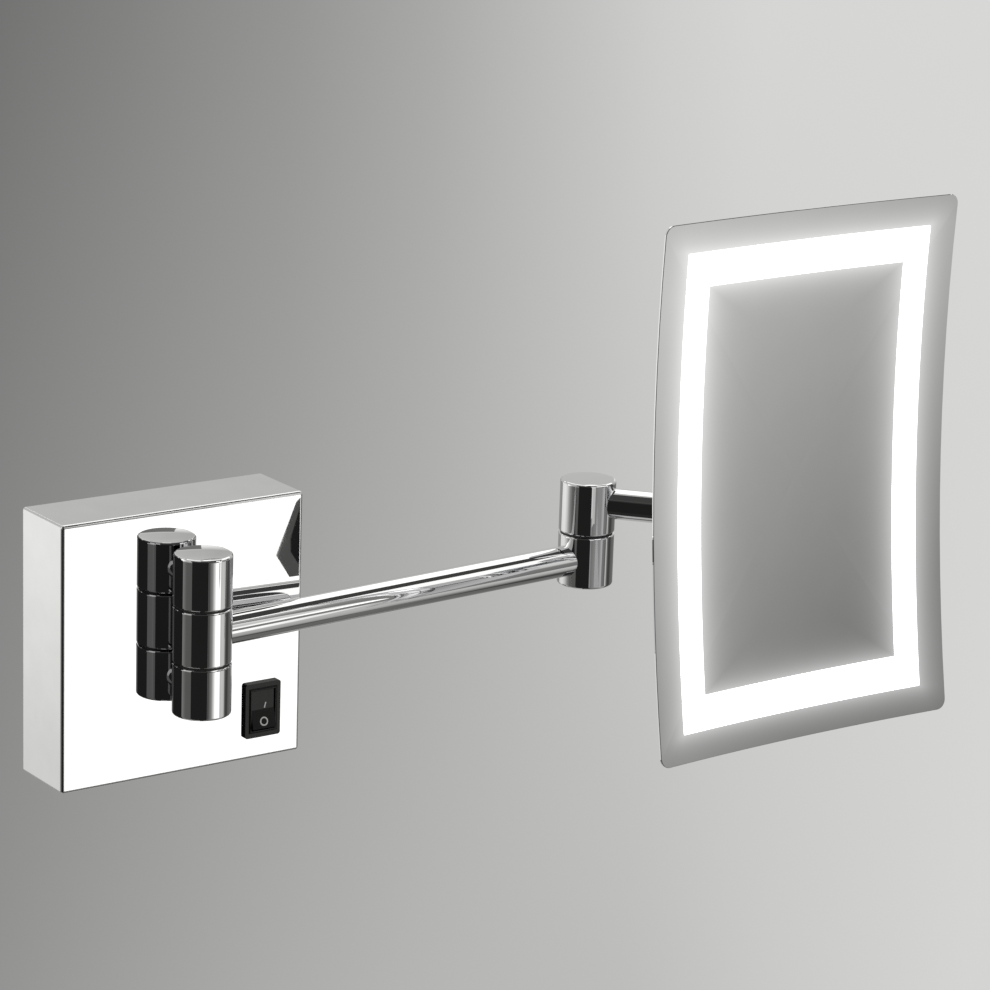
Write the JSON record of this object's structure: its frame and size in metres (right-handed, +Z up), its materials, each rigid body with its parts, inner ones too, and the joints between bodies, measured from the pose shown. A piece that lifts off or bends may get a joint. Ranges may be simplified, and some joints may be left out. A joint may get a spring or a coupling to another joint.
{
  "type": "extendable shaving mirror",
  "caption": "Wall-mounted magnifying shaving mirror with a lit rectangular band, a square switch box and a hinged tube arm that extends, swivels and tilts.",
  "frame": {"origin": "centre of the wall screw pattern, on the wall plane at the back of the box", "axes": "+X to the right along the wall, +Y into the wall, +Z up; the mirror faces -Y"},
  "size_m": [0.3362, 0.1257, 0.2057],
  "materials": {
    "chrome": "polished chrome plate",
    "zinc_steel": "zinc-plated steel",
    "pin_steel": "ground steel",
    "nylon": "black nylon",
    "black_gloss": "glossy black moulding",
    "mark_grey": "grey print",
    "tab_brass": "tinned brass",
    "grommet_rubber": "black rubber",
    "bond_rubber": "black foam tape",
    "white_abs": "moulded",
    "lead_pvc": "PVC",
    "carrier_alu": "mill finish",
    "strip_board": "white solder mask",
    "led_phosphor": "phosphor",
    "opal": "opal acrylic",
    "mirror": "silvered glass with an etched lit band"
  },
  "bodies": {
    "base": {"wall_plate": "zinc_steel", "cover_tabs": "zinc_steel", "cable_grommet": "grommet_rubber", "base_cover": "chrome", "cover_screws": "zinc_steel", "hinge_plate": "zinc_steel", "top_knuckle": "chrome", "bottom_knuckle": "chrome", "neck_nuts": "zinc_steel", "barrel_pin": "pin_steel", "barrel_washers": "nylon", "barrel_cap": "chrome", "led_driver": "white_abs", "driver_screws": "zinc_steel", "terminal_block": "white_abs", "terminal_screws": "zinc_steel", "switch_body": "black_gloss", "switch_tabs": "tab_brass", "box_leads": "lead_pvc"},
    "rocker": {"switch_rocker": "black_gloss", "switch_marks": "mark_grey"},
    "arm": {"arm_knuckle": "chrome", "arm_tube": "chrome", "elbow_lower_knuckle": "chrome", "elbow_pin": "pin_steel", "elbow_washer": "nylon", "elbow_cap": "chrome", "arm_lead": "lead_pvc"},
    "forearm": {"elbow_upper_knuckle": "chrome", "stub_tube": "chrome", "head_lower_knuckle": "chrome", "head_pin": "pin_steel", "head_washer": "nylon", "head_cap": "chrome", "stub_lead": "lead_pvc"},
    "swivel": {"head_upper_knuckle": "chrome"},
    "head": {"tilt_bracket": "zinc_steel", "tilt_pin": "zinc_steel", "tilt_nut": "zinc_steel", "tilt_washers": "nylon", "bracket_screws": "zinc_steel", "rear_shell": "chrome", "bond_frame": "bond_rubber", "led_carrier": "carrier_alu", "led_strips": "strip_board", "led_chips": "led_phosphor", "diffuser": "opal", "mirror_glass": "mirror"}
  },
  "joints": [
    {"name": "arm_swing", "type": "hinge", "parent": "base", "child": "arm", "pos_m": [0, -0.042, 0.0068], "axis": [0, 0, 1], "range_deg": [-185, 3]},
    {"name": "elbow_swing", "type": "hinge", "parent": "arm", "child": "forearm", "pos_m": [0.17954, -0.02913, 0.0174], "axis": [0, 0, 1], "range_deg": [-22, 127]},
    {"name": "head_pan", "type": "hinge", "parent": "forearm", "child": "swivel", "pos_m": [0.21518, -0.0697, 0.0398], "axis": [0, 0, 1], "range_deg": [-19, 100]},
    {"name": "head_tilt", "type": "hinge", "parent": "swivel", "child": "head", "pos_m": [0.21556, -0.08969, 0.0504], "axis": [0.9998, 0.0192, 0], "range_deg": [-16, 23]},
    {"name": "switch_rock", "type": "hinge", "parent": "base", "child": "rocker", "pos_m": [0.0332, -0.029, -0.031], "axis": [1, 0, 0], "range_deg": [0, 14]}
  ]
}
